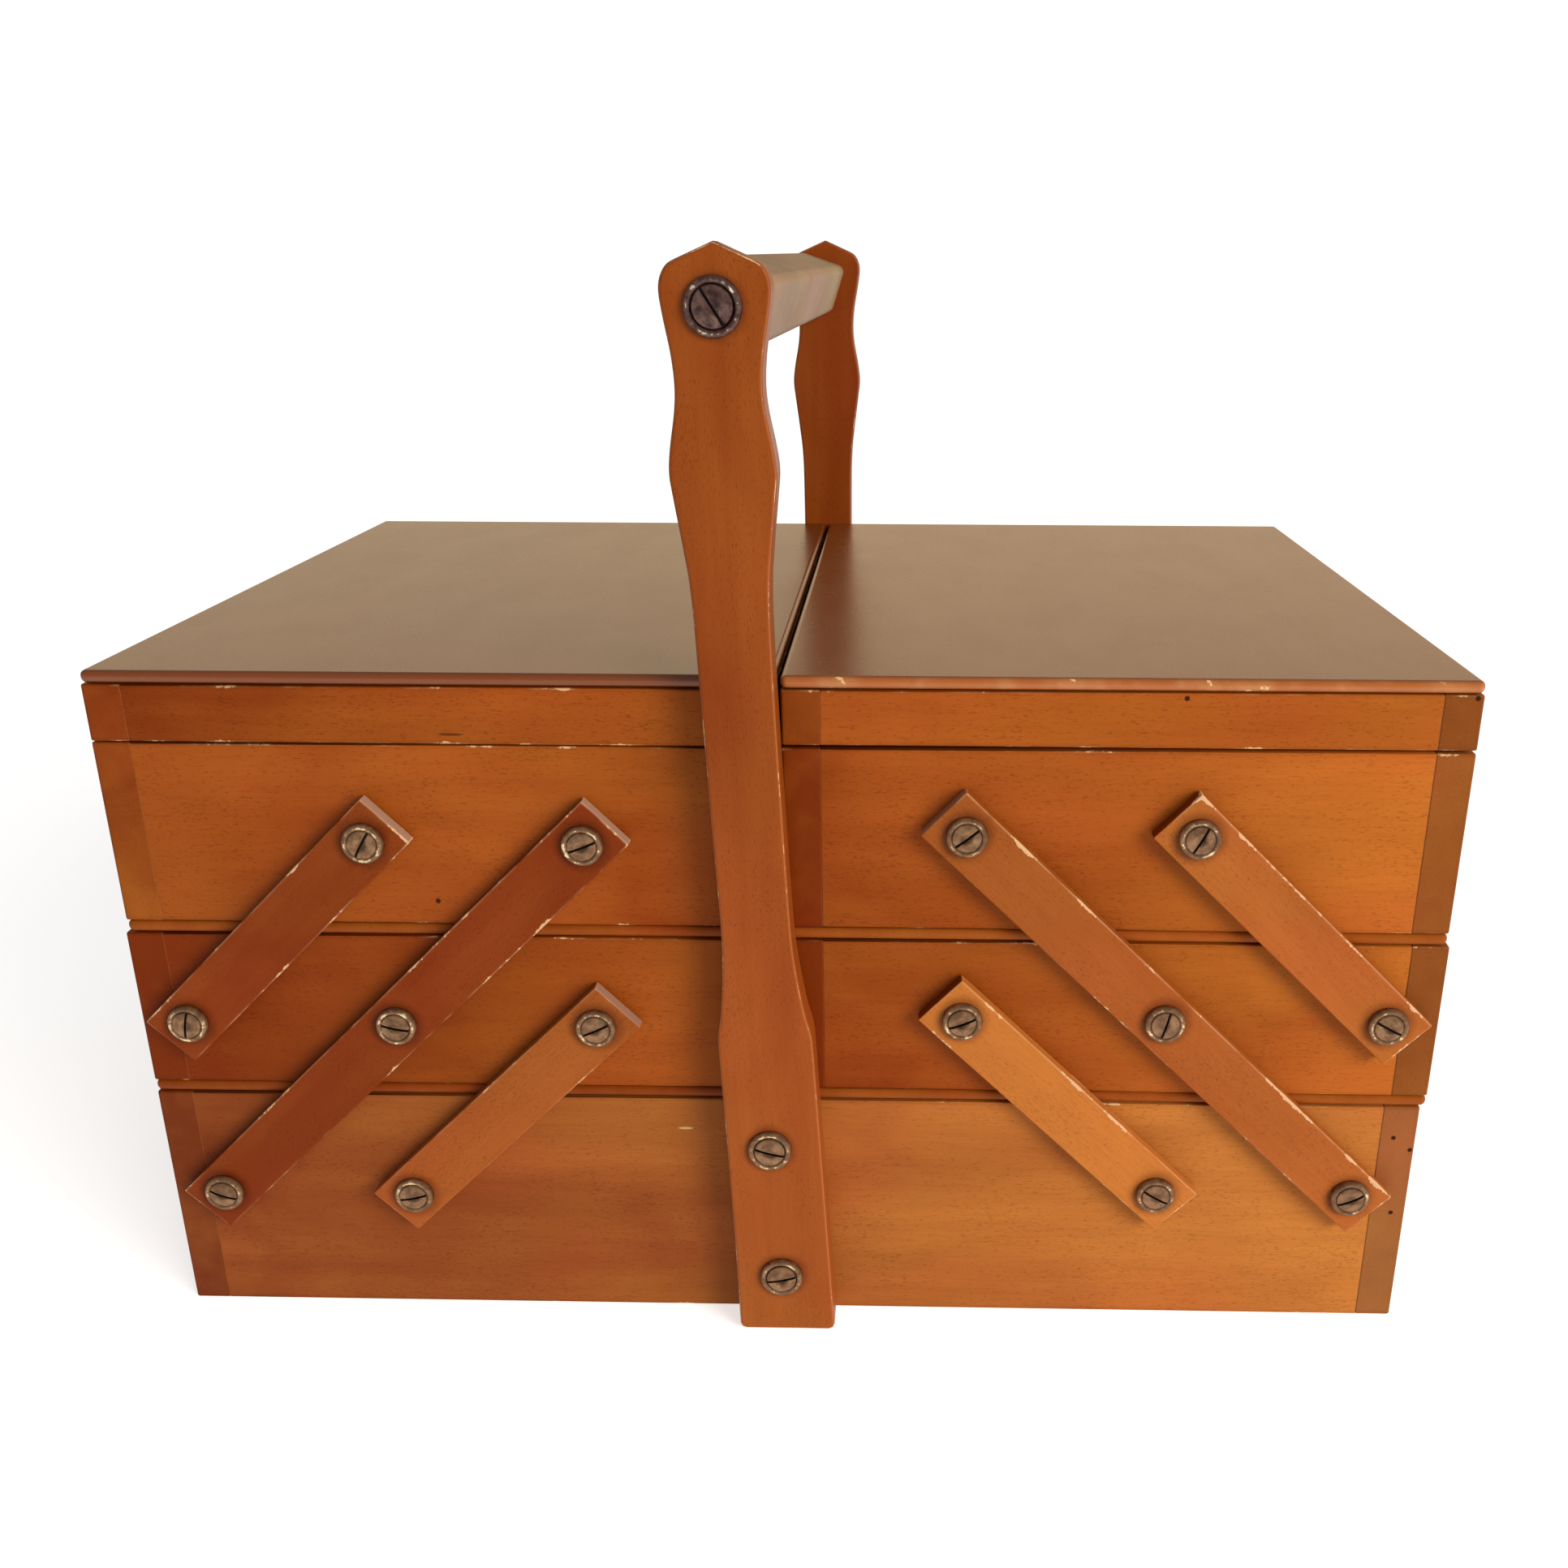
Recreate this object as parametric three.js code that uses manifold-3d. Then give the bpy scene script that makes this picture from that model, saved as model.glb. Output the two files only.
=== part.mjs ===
// Sewing box with cantilever trays: a base, two middle trays and two lidded upper trays,
// carried by flat wooden arms, with a fixed handle over the middle.
// Millimetres. +X is to the right, +Y to the back, +Z up. The origin is the middle of the underside.

import * as THREE from 'three';
import { mergeVertices } from 'three/addons/utils/BufferGeometryUtils.js';
import Module from 'manifold-3d';

const wasm = await Module();
wasm.setup();

// ---------------------------------------------------------------- driving dimensions

const width = 420;                  // over the closed end walls
const depth = 282;                  // front face to back face
const wall = 10;                    // front and back boards
const endWall = 12;                 // end boards
const panel = 4;                    // bottoms and lid tops
const gap = 0.3;                    // clearance between neighbouring pieces
const middleSeam = 1.6;             // between the left and the right trays
const boardCorner = 1;              // upright corners of the boards
const panelCorner = 2;              // corners of the bottoms and the lid tops, seen from above
const baseShift = -0.8;             // the base was glued up a little to the left
const middleOverhang = 0.9;         // the middle trays reach this much beyond the upper ones
const rebate = 5;                   // how far the base bottom is let into the walls

const baseHeight = 83;
const middleHeight = 57.9;
const upperHeight = 63.4;
const lidTop = 227.3;
const rim = baseHeight + middleHeight + upperHeight + 2 * gap;

const armWidth = 19.8;
const armThickness = 5;
const armStandoff = 0.5;            // air between an arm and the boards behind it
const armEnd = 10.2;                // wood beyond the last pivot
const restAngle = THREE.MathUtils.degToRad(44.3);
const lowerReach = 92;              // base pivot to middle tray pivot
const upperReach = 90.2;            // middle tray pivot to upper tray pivot
const pivotHeight = 49.8;           // the base pivots, before the side's own rise
const baseOuterPivot = 189.3;
const baseInnerPivot = 124.7;
const middleOuterPivot = 192.7;
const pivotShift = -1.5;            // all pivots were drilled a little to the left

const shankRadius = 2;
const holeRadius = 2.3;
const screwDepth = 8;               // how far a screw reaches into its wall
const washerRadius = 6.2;
const headRadius = 4.3;
const slotWidth = 1.1;
const slotDepth = 0.9;
const headHeight = 2.5;
const screwTurn = 2.4;              // how much further each screw was driven than the one before
const roundSides = 12;

const handleThickness = 12.5;
const handlePeak = 347.1;
const handleFoot = 16.2;            // half width at the foot
const footCorner = 2;
const handleBevel = 1;
const barWidth = 21.3;
const barHeight = 20.7;
const barRounding = 2.5;
const barTwist = THREE.MathUtils.degToRad(18);
const barFront = { x: -11.9, z: 331.2 };
const barRear = { x: -4.4, z: 333.1 };

const hingeLength = 216;
const hingeKnuckles = 9;
const knuckleRadius = 1.8;
const hingeOffset = 2.1;            // pin centre outside the end wall's face
const leafThickness = 0.8;
const leafWidth = 8;
const leafRecess = 1.1;

const sides = [
  { name: 'left', sign: -1, pivotRise: -2, lidGap: 0.4 },
  { name: 'right', sign: 1, pivotRise: 2, lidGap: 1 },
];

const faces = [
  { name: 'front', sign: -1 },
  { name: 'rear', sign: 1 },
];

// How each handle arm departs from upright: its foot's place, its sideways shift for each mm of height,
// how far its middle bows to the left, and how much longer it is than the front one.
const handleArms = [
  { face: faces[0], footX: -0.24, lean: -0.0368, bow: 2, rise: 0 },
  { face: faces[1], footX: 0.1, lean: 0, bow: 0, rise: 3.5 },
];

// ---------------------------------------------------------------- helpers

function material(color, roughness, metalness = 0) {
  return new THREE.MeshStandardMaterial({ color, roughness, metalness });
}

const paints = {
  board: () => material(0xb8642d, 0.45),
  darkBoard: () => material(0xa5521f, 0.45),
  arm: () => material(0xa65c2c, 0.5),
  plywood: () => material(0xc79a62, 0.7),
  bar: () => material(0xa89a80, 0.75),
  screw: () => material(0x6b5340, 0.45, 0.8),
  hinge: () => material(0xb08d4a, 0.4, 0.9),
};

const box = new THREE.Group();

function addPiece(name, geometry, paint) {
  const mesh = new THREE.Mesh(geometry, paint());
  mesh.name = name;
  box.add(mesh);
}

function toSolid(geometry) {
  const bare = geometry.clone();
  bare.deleteAttribute('normal');
  bare.deleteAttribute('uv');
  const merged = mergeVertices(bare, 1e-4);
  return new wasm.Manifold(new wasm.Mesh({
    numProp: 3,
    vertProperties: new Float32Array(merged.attributes.position.array),
    triVerts: new Uint32Array(merged.index.array),
  }));
}

function toGeometry(solid) {
  const mesh = solid.getMesh();
  const geometry = new THREE.BufferGeometry();
  geometry.setAttribute('position', new THREE.BufferAttribute(mesh.vertProperties, 3));
  geometry.setIndex(new THREE.BufferAttribute(mesh.triVerts, 1));
  geometry.computeVertexNormals();
  return geometry;
}

function cut(geometry, tools) {
  return toGeometry(tools.reduce((solid, tool) => solid.subtract(toSolid(tool)), toSolid(geometry)));
}

function join(pieces) {
  return toGeometry(pieces.slice(1).reduce((solid, piece) => solid.add(toSolid(piece)), toSolid(pieces[0])));
}

function block(x0, x1, y0, y1, z0, z1) {
  const geometry = new THREE.BoxGeometry(Math.abs(x1 - x0), Math.abs(y1 - y0), Math.abs(z1 - z0));
  return geometry.translate((x0 + x1) / 2, (y0 + y1) / 2, (z0 + z1) / 2);
}

// A cylinder along Y.
function rod(x, z, y0, y1, radius) {
  const geometry = new THREE.CylinderGeometry(radius, radius, Math.abs(y1 - y0), roundSides);
  return geometry.translate(0, (y0 + y1) / 2, 0).translate(x, 0, z);
}

function roundedOutline(target, x0, x1, y0, y1, r) {
  target.moveTo(x0 + r, y0);
  target.lineTo(x1 - r, y0);
  target.absarc(x1 - r, y0 + r, r, -Math.PI / 2, 0);
  target.lineTo(x1, y1 - r);
  target.absarc(x1 - r, y1 - r, r, 0, Math.PI / 2);
  target.lineTo(x0 + r, y1);
  target.absarc(x0 + r, y1 - r, r, Math.PI / 2, Math.PI);
  target.lineTo(x0, y0 + r);
  target.absarc(x0 + r, y0 + r, r, Math.PI, Math.PI * 1.5);
  return target;
}

function slab(outline, z0, z1) {
  const geometry = new THREE.ExtrudeGeometry(outline, {
    depth: z1 - z0, bevelEnabled: false, curveSegments: 2,
  });
  return geometry.translate(0, 0, z0);
}

function roundedSlab(x0, x1, z0, z1) {
  return slab(roundedOutline(new THREE.Shape(), x0, x1, -depth / 2, depth / 2, panelCorner), z0, z1);
}

// Four upright boards glued into a ring.
function ring(x0, x1, z0, z1) {
  const outline = roundedOutline(new THREE.Shape(), x0, x1, -depth / 2, depth / 2, boardCorner);
  const inside = new THREE.Path();
  inside.moveTo(x0 + endWall, -depth / 2 + wall);
  inside.lineTo(x0 + endWall, depth / 2 - wall);
  inside.lineTo(x1 - endWall, depth / 2 - wall);
  inside.lineTo(x1 - endWall, -depth / 2 + wall);
  inside.closePath();
  outline.holes.push(inside);
  return slab(outline, z0, z1);
}

// Turns a shape drawn in X and Z into a plate of the given thickness on one face of the box.
function facePlate(shape, face, standoff, thickness, options) {
  const geometry = new THREE.ExtrudeGeometry(shape, options).rotateX(Math.PI / 2);
  const nearest = depth / 2 + standoff;
  return geometry.translate(0, face.sign < 0 ? -nearest : nearest + thickness, 0);
}

// ---------------------------------------------------------------- pivots

function along(from, side, reach) {
  return {
    x: from.x - side.sign * reach * Math.cos(restAngle),
    z: from.z + reach * Math.sin(restAngle),
  };
}

function pivotsOf(side) {
  const at = (x, z) => ({ x: side.sign * x + pivotShift, z: z + side.pivotRise });
  const baseOuter = at(baseOuterPivot, pivotHeight);
  const baseInner = at(baseInnerPivot, pivotHeight);
  const middleCentre = along(baseOuter, side, lowerReach);
  const middleInner = along(baseInner, side, lowerReach);
  const middleOuter = { x: side.sign * middleOuterPivot, z: middleCentre.z };
  const upperInner = along(middleCentre, side, upperReach);
  const upperOuter = along(middleOuter, side, upperReach);
  return { baseOuter, baseInner, middleCentre, middleInner, middleOuter, upperInner, upperOuter };
}

function screwHoles(pivots) {
  return faces.flatMap((face) => pivots.map((pivot) => {
    const surface = face.sign * depth / 2;
    return rod(pivot.x, pivot.z, surface + face.sign, surface - face.sign * (screwDepth + gap), holeRadius);
  }));
}

// ---------------------------------------------------------------- boxes and trays

function addBase() {
  const half = width / 2;
  const outer = half - rebate;
  const pivots = sides.map(pivotsOf).flatMap((p) => [p.baseOuter, p.baseInner]);
  const [left, right] = [baseShift - outer, baseShift + outer];
  const bottomRebate = block(left, right, -depth / 2 + rebate, depth / 2 - rebate, -1, panel + gap);
  const boards = ring(baseShift - half, baseShift + half, 0, baseHeight);
  addPiece('base_carcass', cut(boards, [bottomRebate, ...screwHoles(pivots)]), paints.board);
  addPiece(
    'base_bottom',
    block(left + gap, right - gap, -depth / 2 + rebate + gap, depth / 2 - rebate - gap, 0, panel),
    paints.plywood,
  );
}

// The X range of one side's trays, lowest first.
function trayRange(side, overhang = 0) {
  const ends = [side.sign * middleSeam / 2, side.sign * (width / 2 + overhang)];
  return ends.sort((a, b) => a - b);
}

function addTray(side, level, z0, z1, pivots, overhang = 0, recesses = []) {
  const [x0, x1] = trayRange(side, overhang);
  const carcass = cut(ring(x0, x1, z0 + panel + gap, z1), [...screwHoles(pivots), ...recesses]);
  addPiece(`${side.name}_${level}_tray_carcass`, carcass, paints.board);
  addPiece(`${side.name}_${level}_tray_bottom`, roundedSlab(x0, x1, z0, z0 + panel), paints.darkBoard);
}

// The recess for a hinge leaf in the edge of an end wall.
function leafPocket(side, z0, z1) {
  const face = side.sign * width / 2;
  const inner = face - side.sign * (leafWidth + gap);
  return block(inner, face + side.sign, -hingeLength / 2 - gap, hingeLength / 2 + gap, z0, z1);
}

function addLid(side) {
  const [x0, x1] = trayRange(side);
  const underside = rim + side.lidGap;
  const frame = ring(x0, x1, underside, lidTop - panel);
  const top = roundedSlab(x0, x1, lidTop - panel, lidTop);
  const pocket = leafPocket(side, underside - 1, rim + gap + leafRecess + side.lidGap);
  addPiece(`${side.name}_lid`, cut(join([frame, top]), [pocket]), paints.darkBoard);
}

// ---------------------------------------------------------------- lid hinges

// One leaf with its share of the knuckles: the even ones on the tray, the odd ones on the lid.
function hingeLeaf(side, z0, parity, pinLevel) {
  const face = side.sign * width / 2;
  const pin = face + side.sign * hingeOffset;
  const pitch = hingeLength / hingeKnuckles;
  const end = hingeLength / 2;
  const pieces = [block(face - side.sign * leafWidth, face, -end, end, z0, z0 + leafThickness)];
  for (let i = parity; i < hingeKnuckles; i += 2) {
    const y0 = -end + i * pitch + gap / 2;
    const y1 = y0 + pitch - gap;
    pieces.push(block(face - side.sign, pin, y0, y1, z0, z0 + leafThickness));
    pieces.push(rod(pin, pinLevel, y0, y1, knuckleRadius));
  }
  return join(pieces);
}

function addHinge(side) {
  const pinLevel = rim + side.lidGap / 2;
  const trayLeafLevel = rim - leafRecess + gap / 2;
  const lidLeafLevel = rim + side.lidGap + gap / 2;
  addPiece(`${side.name}_hinge_tray_leaf`, hingeLeaf(side, trayLeafLevel, 0, pinLevel), paints.hinge);
  addPiece(`${side.name}_hinge_lid_leaf`, hingeLeaf(side, lidLeafLevel, 1, pinLevel), paints.hinge);
}

// ---------------------------------------------------------------- linkage

function armShape(holes) {
  const first = holes[0];
  const last = holes[holes.length - 1];
  const run = new THREE.Vector2(last.x - first.x, last.z - first.z).normalize();
  const across = new THREE.Vector2(-run.y, run.x).multiplyScalar(armWidth / 2);
  const low = new THREE.Vector2(first.x, first.z).addScaledVector(run, -armEnd);
  const high = new THREE.Vector2(last.x, last.z).addScaledVector(run, armEnd);
  const shape = new THREE.Shape([
    low.clone().add(across),
    low.clone().sub(across),
    high.clone().sub(across),
    high.clone().add(across),
  ]);
  for (const hole of holes) {
    shape.holes.push(new THREE.Path().absarc(hole.x, hole.z, holeRadius, 0, Math.PI * 2));
  }
  return shape;
}

function addArm(name, side, holes) {
  for (const face of faces) {
    const options = { depth: armThickness, bevelEnabled: false, curveSegments: roundSides / 2 };
    const plate = facePlate(armShape(holes), face, armStandoff, armThickness, options);
    addPiece(`${side.name}_${face.name}_${name}`, plate, paints.arm);
  }
}

// A slotted screw with its cup washer, along Y, with its head at +Y and the arm's face at 0.
function screwGeometry(slotAngle) {
  const tip = -(armThickness + armStandoff + screwDepth);
  const profile = [
    [0, tip], [shankRadius, tip], [shankRadius, 0.2], [washerRadius, 0.2],
    [washerRadius - 0.8, 1.6], [headRadius + 0.3, 1.2], [headRadius, 2.1], [0, headHeight],
  ].map(([r, y]) => new THREE.Vector2(r, y));
  const slot = new THREE.BoxGeometry(2 * washerRadius, 2 * slotDepth, slotWidth);
  slot.rotateY(slotAngle).translate(0, headHeight, 0);
  return cut(new THREE.LatheGeometry(profile, roundSides), [slot]);
}

let screwCount = 0;

function addPivotScrew(name, side, pivot) {
  for (const face of faces) {
    screwCount += 1;
    const screw = screwGeometry(screwCount * screwTurn);
    if (face.sign < 0) screw.rotateZ(Math.PI);
    const seat = face.sign * (depth / 2 + armStandoff + armThickness);
    screw.translate(pivot.x, seat, pivot.z);
    addPiece(`${side.name}_${face.name}_${name}_screw`, screw, paints.screw);
  }
}

function addLinkage(side) {
  const p = pivotsOf(side);
  addArm('long_arm', side, [p.baseOuter, p.middleCentre, p.upperInner]);
  addArm('lower_arm', side, [p.baseInner, p.middleInner]);
  addArm('upper_arm', side, [p.middleOuter, p.upperOuter]);
  addPivotScrew('base_outer', side, p.baseOuter);
  addPivotScrew('base_inner', side, p.baseInner);
  addPivotScrew('middle_outer', side, p.middleOuter);
  addPivotScrew('middle_centre', side, p.middleCentre);
  addPivotScrew('middle_inner', side, p.middleInner);
  addPivotScrew('upper_outer', side, p.upperOuter);
  addPivotScrew('upper_inner', side, p.upperInner);
}

// ---------------------------------------------------------------- handle

// Half of the arm's outline from the foot to the shoulder, as half width and height.
const handleProfile = [
  [15.8, 31], [15.5, 61], [15.3, 90], [15.2, 106], [14.9, 113.5], [13.4, 121], [11.8, 134], [10.9, 149],
  [10.85, 180], [10.9, 236], [11.3, 255], [12.5, 267], [14.3, 281], [14.95, 287.5], [14.3, 294],
  [12.5, 304], [12, 311], [12.6, 319], [14.2, 328.5], [14.95, 334.5], [14.4, 338.3], [12.6, 341.3],
];
const handleShoulder = [10, 342.8];

function handleShape(rise) {
  const profile = handleProfile.map(([x, z]) => new THREE.Vector2(x, z + rise));
  const mirrored = profile.map((p) => new THREE.Vector2(-p.x, p.y)).reverse();
  const [shoulderX, shoulderZ] = handleShoulder;
  const shape = new THREE.Shape();
  shape.moveTo(-handleFoot + footCorner, 0);
  shape.lineTo(handleFoot - footCorner, 0);
  shape.lineTo(handleFoot, footCorner);
  shape.splineThru(profile);
  shape.lineTo(shoulderX, shoulderZ + rise);
  shape.lineTo(0, handlePeak + rise);
  shape.lineTo(-shoulderX, shoulderZ + rise);
  shape.lineTo(mirrored[0].x, mirrored[0].y);
  shape.splineThru([...mirrored.slice(1), new THREE.Vector2(-handleFoot, footCorner)]);
  return shape;
}

// The arm's middle at a height. The bow is largest at two thirds of the height.
function armMiddle(arm, z) {
  const share = z / (handlePeak + arm.rise);
  return arm.footX + arm.lean * z - arm.bow * 6.75 * share * share * (1 - share);
}

function addHandleArm(arm) {
  const options = {
    depth: handleThickness - 2 * handleBevel, curveSegments: 2,
    bevelEnabled: true, bevelThickness: handleBevel, bevelSize: handleBevel, bevelOffset: -handleBevel,
    bevelSegments: 1,
  };
  const plate = facePlate(handleShape(arm.rise), arm.face, gap, handleThickness, options);
  plate.translate(0, -handleBevel, 0);
  const corners = plate.attributes.position;
  for (let i = 0; i < corners.count; i += 1) {
    corners.setX(i, corners.getX(i) + armMiddle(arm, corners.getZ(i)));
  }
  plate.computeVertexNormals();
  addPiece(`handle_${arm.face.name}_arm`, plate, paints.arm);
}

function addHandleBar() {
  const outline = roundedOutline(
    new THREE.Shape(), -barWidth / 2, barWidth / 2, -barHeight / 2, barHeight / 2, barRounding,
  );
  const bar = new THREE.ExtrudeGeometry(outline, { depth, bevelEnabled: false, curveSegments: 2 });
  bar.translate(0, 0, -depth / 2).rotateZ(-barTwist).rotateX(Math.PI / 2);
  const skewX = (barRear.x - barFront.x) / depth;
  const skewZ = (barRear.z - barFront.z) / depth;
  bar.applyMatrix4(new THREE.Matrix4().makeShear(0, 0, skewX, skewZ, 0, 0));
  bar.translate((barFront.x + barRear.x) / 2, 0, (barFront.z + barRear.z) / 2);
  addPiece('handle_bar', bar, paints.bar);
}

// ---------------------------------------------------------------- assembly

addBase();
for (const side of sides) {
  const p = pivotsOf(side);
  const middleFloor = baseHeight + gap;
  const upperFloor = middleFloor + middleHeight + gap;
  const middlePivots = [p.middleOuter, p.middleCentre, p.middleInner];
  const hingePocket = leafPocket(side, rim - leafRecess, rim + 1);
  addTray(side, 'middle', middleFloor, middleFloor + middleHeight, middlePivots, middleOverhang);
  addTray(side, 'upper', upperFloor, rim, [p.upperOuter, p.upperInner], 0, [hingePocket]);
  addLid(side);
  addHinge(side);
  addLinkage(side);
}
handleArms.forEach(addHandleArm);
addHandleBar();

export default box;
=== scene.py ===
"""A wooden cantilever sewing box, closed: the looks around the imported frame. Metres, +Z up."""

import math
from typing import NamedTuple

import bmesh
import bpy
from mathutils import Matrix, Vector


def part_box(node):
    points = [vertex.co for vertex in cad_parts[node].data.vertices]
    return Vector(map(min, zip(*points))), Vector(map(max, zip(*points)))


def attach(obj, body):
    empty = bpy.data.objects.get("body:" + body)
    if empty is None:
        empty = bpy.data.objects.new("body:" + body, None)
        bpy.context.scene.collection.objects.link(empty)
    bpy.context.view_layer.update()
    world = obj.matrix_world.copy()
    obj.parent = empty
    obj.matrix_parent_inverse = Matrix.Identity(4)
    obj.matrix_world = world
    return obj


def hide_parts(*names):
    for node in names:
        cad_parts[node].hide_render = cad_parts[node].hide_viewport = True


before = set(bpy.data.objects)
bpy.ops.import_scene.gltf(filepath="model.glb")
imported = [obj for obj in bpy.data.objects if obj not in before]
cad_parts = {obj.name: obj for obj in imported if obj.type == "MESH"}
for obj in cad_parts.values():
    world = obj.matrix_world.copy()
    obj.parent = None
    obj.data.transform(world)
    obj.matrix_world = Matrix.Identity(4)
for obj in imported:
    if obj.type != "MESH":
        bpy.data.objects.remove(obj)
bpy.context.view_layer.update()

# ------------------------------------------------------------------ driving values

WALL = 0.010               # front and back boards
END_WALL = 0.012           # end boards
PANEL = 0.004              # tray bottoms and lid tops
ARRIS = 0.0005             # how far a sharp edge is eased
CORNER = 0.001             # upright outer corners of the boards
PANEL_CORNER = 0.002       # corners of tray bottoms and lid tops, seen from above
BULLNOSE = 0.0018          # edges of tray bottoms and lid tops
SEAM = 0.00005             # glue line between two boards
GROOVE = 0.0002            # dirt-filled joint between a ring of boards and its panel
FAR = 1.0                  # pushes an edge out of the reach of wear

HEAD_RADIUS = 0.0046       # pivot screws
WASHER_RADIUS = 0.0065
FOOT_HEAD = 0.0050         # screws at the feet of the handle arms
FOOT_WASHER = 0.0071
BIG_HEAD = 0.0056          # screws that hold the handle bar
BIG_WASHER = 0.0080
SLOT_WIDTH = 0.0007
SLOT_DEPTH = 0.0009
HEAD_SIDE = 0.0013         # height of a screw head's straight side
HEAD_ROUNDING = 0.0006
HEAD_TOP = 0.0024          # how far a screw head stands out
WASHER_CREST = 0.0011      # from a washer's rim in to its crest
CREST_BAND = 0.0012        # half width of the rubbed band on the crest

HANDLE_FOOT = 0.0162       # half width of a handle arm at its foot
HANDLE_EASE = 0.0011       # rounding of a handle arm's edges
FOOT_SCREWS = ((-0.0007, 0.0221), (-0.0013, 0.0718))   # sideways from the arm's middle, and height
BAR_SCREW_RISE = 0.3309
BAR_SCREW_SHIFT = -0.0005
BAR_WIDTH = 0.0213
BAR_HEIGHT = 0.0207
BAR_TWIST = math.radians(18)
BAR_ENDS = {"front": (-0.0119, 0.3312), "rear": (-0.0044, 0.3331)}   # X and Z of the bar's middle

CAMERA_PLACE = Vector((0.0399, -0.5776, 0.3423))
CAMERA_YAW = -0.0189
CAMERA_PITCH = 0.3734
CAMERA_ROLL = -0.0030
CAMERA_LENS = 34.71        # mm on a 36 mm sensor
CAMERA_SHIFT = (-0.0629, 0.0441)

AMBIENT = 0.36             # even light from all around
BACKDROP = 1.02            # what the camera sees behind the floor
KEY = 2.3                  # sun strength
SIDE_PANEL = 4.0           # watts, at the right
WALL_PANEL = 14.6          # watts, a cream wall behind the box that the lids mirror
FLOOR_GLOW = 0.60
FLOOR_SIZE = 40.0


class HandleArm(NamedTuple):
    """How a handle arm departs from upright."""
    foot_x: float
    lean: float            # sideways shift for each metre of height
    bow: float             # how far the middle bows to the left
    rise: float            # how much longer it is than the front one


HANDLE_ARMS = {
    "front": HandleArm(-0.00024, -0.0368, 0.002, 0.0),
    "rear": HandleArm(0.0001, 0.0, 0.0, 0.0035),
}

SIDES = {"left": -1, "right": 1}
FACES = {"front": -1, "rear": 1}


# ------------------------------------------------------------------ shader graphs

class Graph:
    """Builds one material's node tree; sockets and plain numbers mix freely."""

    def __init__(self, name):
        self.material = bpy.data.materials.new(name)
        self.material.use_nodes = True
        self.nodes = self.material.node_tree.nodes
        self.links = self.material.node_tree.links
        self.nodes.clear()
        self.shader = self.nodes.new("ShaderNodeBsdfPrincipled")
        output = self.nodes.new("ShaderNodeOutputMaterial")
        self.links.new(self.shader.outputs["BSDF"], output.inputs["Surface"])

    def feed(self, socket, value):
        if isinstance(value, bpy.types.NodeSocket):
            self.links.new(value, socket)
        elif hasattr(socket.default_value, "__len__") and len(socket.default_value) == 4:
            socket.default_value = (*value[:3], 1.0)
        else:
            socket.default_value = value

    def attribute(self, name, output="Vector"):
        node = self.nodes.new("ShaderNodeAttribute")
        node.attribute_name = name
        return node.outputs[output]

    def split(self, vector):
        node = self.nodes.new("ShaderNodeSeparateXYZ")
        self.feed(node.inputs[0], vector)
        return node.outputs

    def join(self, x, y, z):
        node = self.nodes.new("ShaderNodeCombineXYZ")
        for socket, value in zip(node.inputs, (x, y, z)):
            self.feed(socket, value)
        return node.outputs[0]

    def math(self, operation, a, b=0.0):
        node = self.nodes.new("ShaderNodeMath")
        node.operation = operation
        self.feed(node.inputs[0], a)
        self.feed(node.inputs[1], b)
        return node.outputs[0]

    def vector(self, operation, a, b=(0.0, 0.0, 0.0), output="Vector"):
        node = self.nodes.new("ShaderNodeVectorMath")
        node.operation = operation
        self.feed(node.inputs[0], a)
        self.feed(node.inputs[1], b)
        return node.outputs[output]

    def noise(self, place, stretch, detail=2.0, roughness=0.5, distortion=0.0):
        """Fractal noise; stretch is the number of features per metre along each axis."""
        node = self.nodes.new("ShaderNodeTexNoise")
        self.feed(node.inputs["Vector"], self.vector("MULTIPLY", place, stretch))
        node.inputs["Scale"].default_value = 1.0
        node.inputs["Detail"].default_value = detail
        node.inputs["Roughness"].default_value = roughness
        node.inputs["Distortion"].default_value = distortion
        return node.outputs["Fac"]

    def step(self, value, low, high, to_low=0.0, to_high=1.0):
        """A smooth step of value from low to high."""
        node = self.nodes.new("ShaderNodeMapRange")
        node.interpolation_type = "SMOOTHSTEP"
        for socket, number in zip(node.inputs, (value, low, high, to_low, to_high)):
            self.feed(socket, number)
        return node.outputs[0]

    def mix(self, factor, a, b, blend="MIX"):
        node = self.nodes.new("ShaderNodeMix")
        node.data_type = "RGBA"
        node.blend_type = blend
        self.feed(node.inputs["Factor"], factor)
        self.feed(node.inputs[6], a)
        self.feed(node.inputs[7], b)
        return node.outputs[2]

    def bump(self, height, distance, strength=1.0, normal=None):
        node = self.nodes.new("ShaderNodeBump")
        node.inputs["Strength"].default_value = strength
        node.inputs["Distance"].default_value = distance
        self.feed(node.inputs["Height"], height)
        if normal is not None:
            self.links.new(normal, node.inputs["Normal"])
        return node.outputs["Normal"]

    def set(self, **values):
        for name, value in values.items():
            self.feed(self.shader.inputs[name.replace("_", " ").title()], value)


def edge_distance(g, loc):
    """Distance to the nearest edge of a box: the middle one of the distances to its three face pairs."""
    x, y, z = g.split(g.vector("SUBTRACT", g.attribute("half"), g.vector("ABSOLUTE", loc)))
    low = g.math("MINIMUM", x, y)
    high = g.math("MAXIMUM", x, y)
    return g.math("MAXIMUM", low, g.math("MINIMUM", high, z))


def centred(g, value, scale):
    """A noise value around 0, scaled."""
    return g.math("MULTIPLY", g.math("SUBTRACT", value, 0.5), scale)


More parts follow.
